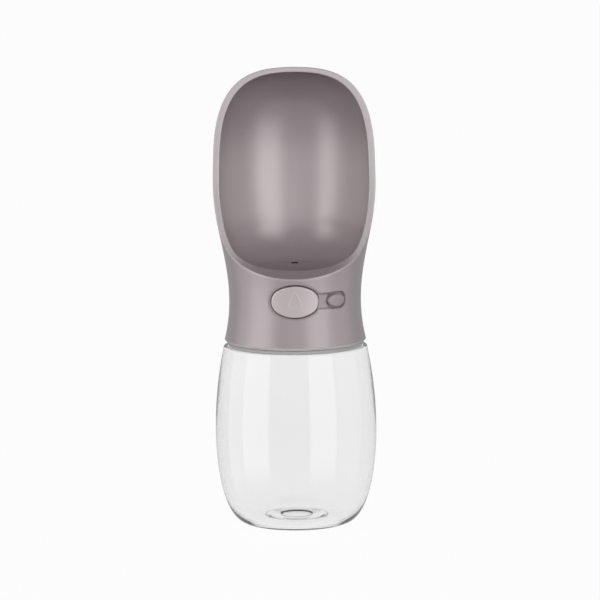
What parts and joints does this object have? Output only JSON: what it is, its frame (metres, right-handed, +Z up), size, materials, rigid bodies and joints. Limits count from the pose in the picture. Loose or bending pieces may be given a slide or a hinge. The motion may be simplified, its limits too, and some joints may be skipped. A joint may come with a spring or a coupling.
{
  "type": "dog travel water bottle",
  "caption": "Clear bottle screwed into a scoop-shaped drinking head with a press button, a sliding lock and an inner spring valve.",
  "frame": {"origin": "on the table, under the middle of the bottle", "axes": "+Z up through the bottle and the head; -Y is the front, where the button and the scoop's open side are; +X is the viewer's right"},
  "size_m": [0.076, 0.076, 0.2127],
  "materials": {
    "clear_plastic": "clear, glossy",
    "satin_shell": "satin rosy grey",
    "button_plastic": "satin rosy grey",
    "silicone": "matt grey silicone",
    "inner_plastic": "matt off-white",
    "steel": "plain stainless"
  },
  "bodies": {
    "bottle": {"bottle_shell": "clear_plastic", "shoulder_ring": "silicone"},
    "seal_carrier": {"mouth_gasket": "silicone"},
    "head": {"head_shell": "satin_shell", "valve_deck": "inner_plastic", "deck_screws": "steel", "valve_housing": "inner_plastic", "inlet_seal": "silicone", "rod_seal": "silicone", "gland_ring": "inner_plastic", "rear_cap": "inner_plastic", "outlet_sleeve": "silicone", "vent_valve": "silicone", "button_carrier": "inner_plastic", "carrier_screws": "steel", "return_spring": "steel"},
    "button": {"button": "button_plastic", "push_rod": "steel", "valve_plug": "silicone", "plug_clip": "steel"},
    "lock": {"lock_knob": "button_plastic", "lock_plate": "inner_plastic"}
  },
  "joints": [
    {"name": "head_lift", "type": "slide", "parent": "bottle", "child": "seal_carrier", "axis": [0, 0, 1], "range_m": [0, 0.01505]},
    {"name": "head_unscrew", "type": "hinge", "parent": "seal_carrier", "child": "head", "pos_m": [0, 0, 0.09], "axis": [0, 0, 1], "range_deg": [0, 900]},
    {"name": "button_press", "type": "slide", "parent": "head", "child": "button", "axis": [0, 1, 0], "range_m": [0, 0.0035], "stiffness_N_per_m": 800, "springref_m": -0.002, "deforming": ["return_spring"]},
    {"name": "lock_slide", "type": "hinge", "parent": "head", "child": "lock", "pos_m": [0, 0, 0.1078], "axis": [0, 0, 1], "range_deg": [-7, 0]}
  ],
  "couplings": [
    {"joint": "head_lift", "follows": "head_unscrew", "m_per_rad": 0.00095493}
  ]
}
